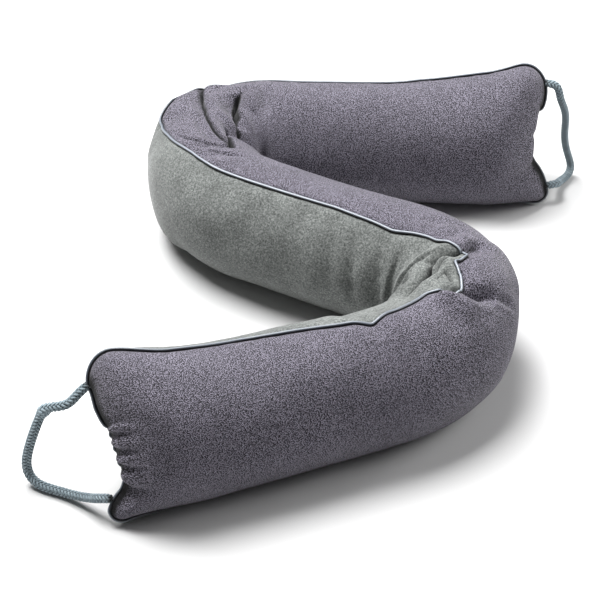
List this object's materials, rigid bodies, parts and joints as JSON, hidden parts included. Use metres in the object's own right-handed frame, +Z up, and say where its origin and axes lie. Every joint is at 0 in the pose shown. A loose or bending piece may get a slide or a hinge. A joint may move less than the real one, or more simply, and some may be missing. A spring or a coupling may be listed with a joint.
{
  "type": "draught excluder",
  "caption": "Long stuffed cloth roll for the foot of a door, folded in three: two panels, piped seam all round, rope loop at each end",
  "frame": {"origin": "on the floor under the middle of the outer box of the cloth tube and its piping, without the rope loops", "axes": "+Z is up from the floor and the shortest extent, +Y is the longest extent, from the front leg of the fold to the back leg, +X is to the right of someone who looks along +Y"},
  "size_m": [0.4277, 0.4717, 0.1158],
  "materials": {
    "front_cloth": "coarse matt weave, plum grey",
    "back_cloth": "smooth brushed cloth, grey green",
    "piping_cloth": "smooth cloth bead, blue grey",
    "rope": "twisted cotton rope, pale blue grey"
  },
  "bodies": {
    "root": {"front_panel": "front_cloth", "back_panel": "back_cloth", "piping": "piping_cloth", "rope_loop_near": "rope", "rope_loop_far": "rope"}
  },
  "joints": []
}
